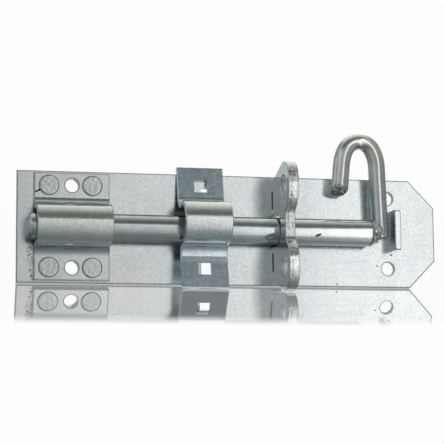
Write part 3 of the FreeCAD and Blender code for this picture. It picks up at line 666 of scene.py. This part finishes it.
# -------------------------------------------------------------------- bolt rod
ROD_D, ROD_Z, ROD_R = 8.6, -1.05, 8.0
bm = bmesh.new()
stations = []
NOSE, TAIL = -121.9, 83.7
for k in range(11):
    a = math.radians(90.0 * k / 10)
    stations.append((NOSE + 3.4 * (1 - math.cos(a)), ROD_R - 3.4 * (1 - math.sin(a))))
x = NOSE + 4.4
while x < TAIL - 1.4:
    stations.append((x, ROD_R))
    x += 0.35 if 46.0 < x < 52.0 else 1.25
for k in range(5):
    a = math.radians(90.0 * k / 4)
    stations.append((TAIL - 0.9 + 0.9 * math.sin(a), ROD_R - 0.9 * (1 - math.cos(a))))
SEG = 112
rows = []
for x, r in stations:
    row = []
    for k in range(SEG):
        a = 2 * math.pi * k / SEG
        ca, sa = math.cos(a), math.sin(a)
        rr = r - 0.02 + 0.02 * rand(x * 0.05, ca * 1.3, sa * 1.3) * min(1.0, (x - NOSE) / 6.0)
        dent = math.hypot((x - 48.9) * 0.8, (math.degrees(a) - 200.0) * 0.14)
        if dent < 1.0 and 180 < math.degrees(a) < 220:
            rr -= 0.28 * (1 - dent * dent) * (0.7 + 0.5 * rand(x * 1.4, ca * 9, sa * 9))
        # a = 0 is up the back, counted so that 180 degrees faces the front
        row.append(new_vert(bm, x, -(PLATE + ROD_D) + rr * ca, ROD_Z + rr * sa))
    rows.append(row)
for a, b in zip(rows, rows[1:]):
    bridge(bm, a, b)
fan(bm, rows[0], NOSE + 0.0, -(PLATE + ROD_D), ROD_Z)
fan(bm, rows[-1], TAIL, -(PLATE + ROD_D), ROD_Z)
place_piece("bolt_rod_look", bm, bar_mat, "bolt_rod", "bolt")

# ---------------------------------------------------------------- hook handle
LEG_X, HALF, SPRING, SIDE, CROWN, BAR = 88.2, 11.0, 38.25, 24.0, 9.4, 5.2
LEG_LEAN, TIP_LEAN = 1.9, 6.0                            # leg and tip spread apart downwards
turn = math.degrees(math.acos((SIDE - HALF) / (SIDE - CROWN)))
mid_x = LEG_X - HALF
crown_z = SPRING + (SIDE - CROWN) * math.sin(math.radians(turn))
leg_tan, tip_tan = math.tan(math.radians(LEG_LEAN)), math.tan(math.radians(TIP_LEAN))
leg_top_x = LEG_X - SIDE + SIDE * math.cos(math.radians(LEG_LEAN))
leg_top_z = SPRING + SIDE * math.sin(math.radians(LEG_LEAN))
tip_top_x = mid_x - HALF + SIDE - SIDE * math.cos(math.radians(TIP_LEAN))
tip_top_z = SPRING + SIDE * math.sin(math.radians(TIP_LEAN))
spine = []                                               # x, z, angle of the outward normal
for k in range(56):
    z = -5.2 + (leg_top_z + 5.2) * k / 56.0
    spine.append((leg_top_x + (leg_top_z - z) * leg_tan, z, LEG_LEAN))
for k in range(25):
    a = LEG_LEAN + (turn - LEG_LEAN) * k / 25.0
    spine.append((LEG_X - SIDE + SIDE * math.cos(math.radians(a)), SPRING + SIDE * math.sin(math.radians(a)), a))
for k in range(31):
    a = turn + (180.0 - 2 * turn) * k / 30.0
    spine.append((mid_x + CROWN * math.cos(math.radians(a)), crown_z + CROWN * math.sin(math.radians(a)), a))
for k in range(1, 26):
    a = 180.0 - turn + (turn - TIP_LEAN) * k / 25.0
    spine.append((mid_x - HALF + SIDE + SIDE * math.cos(math.radians(a)), SPRING + SIDE * math.sin(math.radians(a)), a))
bm = bmesh.new()
SEG = 72
AXIS_Y = -(PLATE + ROD_D)


def bar_radius(phi, s, inner=0.0):
    r = BAR - 0.075 + 0.030 * math.sin(3 * phi + 1.0) + 0.020 * math.sin(5 * phi + 2.4) + 0.009 * math.sin(11 * phi + s * 0.01)
    r += 0.015 * rand(s * 0.09, math.cos(phi) * 1.4, math.sin(phi) * 1.4)
    return r - inner * 0.05 * max(0.0, -math.cos(phi)) * (0.5 + 0.5 * math.sin(s * 2.6))


rows = []
s = 0.0
for i, (x, z, a) in enumerate(spine):
    if i:
        s += math.hypot(x - spine[i - 1][0], z - spine[i - 1][1])
    nx, nz = math.cos(math.radians(a)), math.sin(math.radians(a))
    inner = math.exp(-((a - 90.0) / 38.0) ** 2)
    foot = 1.0 - 0.35 * max(0.0, 1.0 - s / 2.2) ** 2
    row = []
    for k in range(SEG):
        phi = 2 * math.pi * k / SEG
        r = bar_radius(phi, s, inner) * foot
        flat = r * math.cos(phi) * (1.0 - 0.07 * inner)
        row.append(new_vert(bm, x + flat * nx, AXIS_Y - r * math.sin(phi), z + flat * nz))
    rows.append(row)
# straight tip, sheared on a slope with a rolled lip
tip_nx, tip_nz = -math.cos(math.radians(TIP_LEAN)), math.sin(math.radians(TIP_LEAN))


def tip_point(reach, end, t):
    """Point a fraction t down the tip, on the line that starts at a given reach off its axis."""
    x0, z0 = tip_top_x + reach * tip_nx, tip_top_z + reach * tip_nz
    z = z0 + (end - z0) * t
    return x0 - (z0 - z) * tip_tan, z


def tip_end(y):
    t = (y - (AXIS_Y - BAR)) / (2 * BAR)                 # 0 at the front, 1 at the back
    return 27.0 + (20.8 - 27.0) * t


for k in range(1, 13):
    t = k / 12.0
    s += 0.8
    row = []
    for j in range(SEG):
        phi = 2 * math.pi * j / SEG
        r = bar_radius(phi, s)
        y = AXIS_Y - r * math.sin(phi)
        end = tip_end(y) + 0.55 + 0.25 * rand(phi * 1.5, 3.0, 1.0)
        px, pz = tip_point(r * math.cos(phi), end, t)
        row.append(new_vert(bm, px, y, pz))
    rows.append(row)
for shrink, drop in ((0.975, 0.28), (0.925, 0.47), (0.85, 0.55), (0.60, 0.50), (0.30, 0.42)):
    row = []
    for j in range(SEG):
        phi = 2 * math.pi * j / SEG
        r = bar_radius(phi, s) * shrink
        y = AXIS_Y - r * math.sin(phi)
        end = tip_end(y) + 0.55 - drop + 0.16 * rand(phi * 2.3, shrink * 4.0, 7.0)
        px, pz = tip_point(r * math.cos(phi), end, 1.0)
        row.append(new_vert(bm, px, y, pz))
    rows.append(row)
for a, b in zip(rows, rows[1:]):
    bridge(bm, a, b)
fan(bm, rows[0], leg_top_x + (leg_top_z + 5.4) * leg_tan, AXIS_Y, -5.4)
px, pz = tip_point(0.0, tip_end(AXIS_Y) + 0.1, 1.0)
fan(bm, rows[-1], px, AXIS_Y, pz)
place_piece("hook_handle_look", bm, hook_mat, "hook_handle", "handle")

# lumpy weld bead between the bolt's tail and the foot of the hook
bm = bmesh.new()
SEG, LEN = 128, 64
WX0, WX1 = TAIL + 0.07, 93.4
rows = []
for i in range(LEN + 1):
    t = i / LEN
    x = WX0 + (WX1 - WX0) * t
    base = 7.1 * math.sqrt(max(0.0, 1.0 - t ** 2.6)) + 0.02
    row = []
    for k in range(SEG):
        a = 2 * math.pi * k / SEG
        ca, sa = math.cos(a), math.sin(a)
        low = 1.0 - 0.42 * max(0.0, -sa) * min(1.0, t * 2.2)
        px, py, pz = x * 0.42, ca * base * 0.42, sa * base * 0.42
        lump = 1.30 * rand(px, py, pz) + 0.85 * rand(px * 2.1 + 5, py * 2.1, pz * 2.1) + 0.18 * rand(px * 4.6, py * 4.6 + 3, pz * 4.6)
        fade = min(1.0, t * 9.0 + 0.25)
        r = min(base * low + lump * fade * min(1.0, base / 2.5), 7.55)
        row.append(new_vert(bm, x + 0.25 * lump * min(1.0, t * 6.0), AXIS_Y + r * ca, ROD_Z + r * sa))
    rows.append(row)
for a, b in zip(rows, rows[1:]):
    bridge(bm, a, b)
fan(bm, rows[0], WX0, AXIS_Y, ROD_Z)
fan(bm, rows[-1], WX1 + 0.1, AXIS_Y, ROD_Z)
place_piece("weld_bead", bm, weld_mat, "hook_handle", "handle")

# ---------------------------------------------------------------------- rivets
bm = bmesh.new()
SEG = 64
SEAT, FACE = -(PLATE + 3.0), -(PLATE + 3.0 + 0.55)
for n, (cx, cz) in enumerate(RIVETS):
    rows = []
    steps = [(5.62, 0.0)] + [(5.66, 0.12), (5.62, 0.28), (5.5, 0.40), (5.3, 0.46)]
    steps += [(r, 0.50) for r in (4.9, 4.5, 4.1, 3.7, 3.3, 3.0, 2.7, 2.3, 1.9, 1.4, 0.9, 0.45)]
    for r, h in steps:
        row = []
        for k in range(SEG):
            a = 2 * math.pi * k / SEG
            ca, sa = math.cos(a), math.sin(a)
            rim = 1.0 + 0.012 * rand(ca * 1.5 + n * 7, sa * 1.5, 2.0)
            x, z = cx + r * rim * ca, cz + r * rim * sa
            lift = h
            if h > 0.3:
                lift += 0.05 * rand(x * 0.55, z * 0.55, n * 3.0) + 0.03 * rand(x * 1.3, z * 1.3, n * 5.0)
            row.append(new_vert(bm, x, SEAT - min(lift, 0.55), z))
        rows.append(row)
    for a, b in zip(rows, rows[1:]):
        bridge(bm, a, b)
    fan(bm, rows[-1], cx, SEAT - 0.5, cz)
    back = [rows[0]]
    for r, y in ((4.6, SEAT), (4.6, -0.25), (4.35, 0.0), (2.2, 0.0)):
        back.append([new_vert(bm, cx + r * math.cos(2 * math.pi * k / SEG), y, cz + r * math.sin(2 * math.pi * k / SEG))
                     for k in range(SEG)])
    for a, b in zip(back, back[1:]):
        bridge(bm, a, b)
    fan(bm, back[-1], cx, 0.0, cz)
bm.normal_update()
for e in bm.edges:
    if len(e.link_faces) == 2 and e.calc_face_angle(0.0) > math.radians(48):
        e.smooth = False
place_piece("guide_rivets_look", bm, rivet_mat, "guide_rivets", "base")
